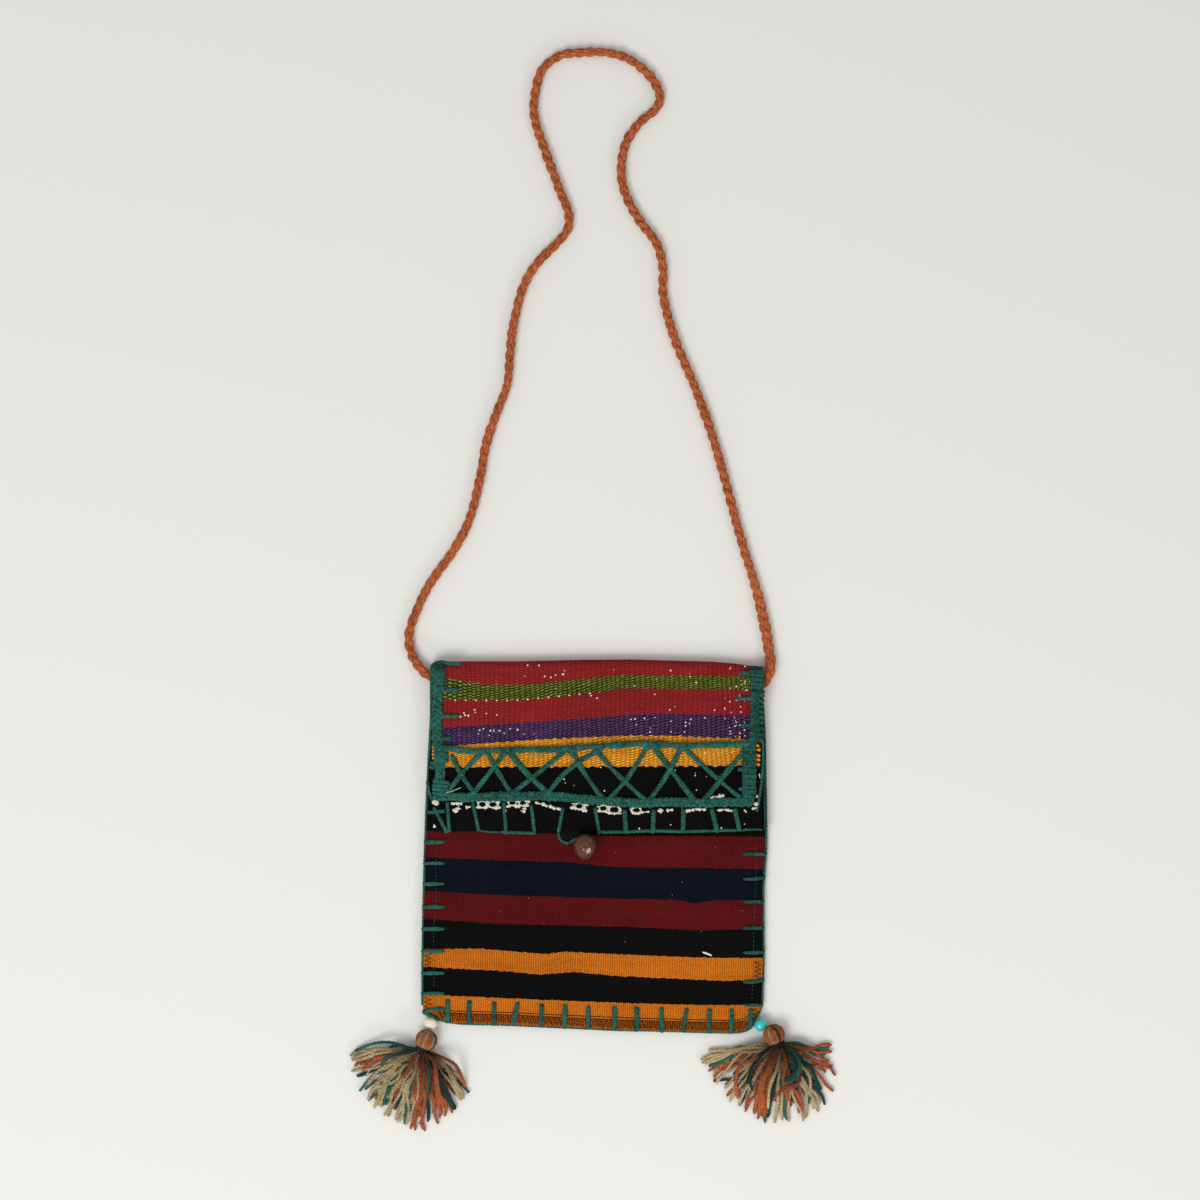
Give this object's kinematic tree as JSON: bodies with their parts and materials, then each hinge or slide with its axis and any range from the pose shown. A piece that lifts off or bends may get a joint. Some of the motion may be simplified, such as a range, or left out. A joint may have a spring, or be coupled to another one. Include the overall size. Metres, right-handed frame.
{
  "type": "woven shoulder bag with flap and tassels",
  "caption": "Flat kilim-cloth shoulder bag: folded flap closed by a ball and yarn loop, twisted cord strap, bead and tassel at each lower corner; it lies on its back.",
  "frame": {"origin": "on the surface that the bag lies on, under the middle of the pouch's back", "axes": "+X across the bag to the viewer's right, +Y from the bottom seam to the fold of the flap and on to the strap, +Z away from the surface, out of the front"},
  "size_m": [0.3323, 0.7459, 0.0303],
  "materials": {
    "flap_kilim": "coarse flat-woven wool with bands of red, green, purple, yellow and black",
    "front_kilim": "fine flat-woven wool with bands of dark red, navy, black and orange",
    "green_wool": "thick twisted wool yarn",
    "rust_wool": "two-ply twisted wool cord",
    "beige_wool": "two-ply wool yarn, mixed beige, rust and dark green",
    "carved_nut": "carved and polished, dark brown",
    "white_bead": "satin, cream",
    "turquoise_bead": "glossy, opaque"
  },
  "bodies": {
    "root": {"back_and_flap": "flap_kilim", "front_panel": "front_kilim", "strap_cord": "rust_wool", "flap_left_braid": "green_wool", "flap_right_braid": "green_wool", "flap_lower_braid": "green_wool", "flap_upper_line": "green_wool", "button_ball": "carved_nut", "button_shank": "green_wool", "button_loop": "green_wool", "tassel_left_bead": "white_bead", "tassel_left_thread": "green_wool", "tassel_left": "beige_wool", "tassel_right_bead": "turquoise_bead", "tassel_right_thread": "green_wool", "tassel_right": "beige_wool"}
  },
  "joints": []
}
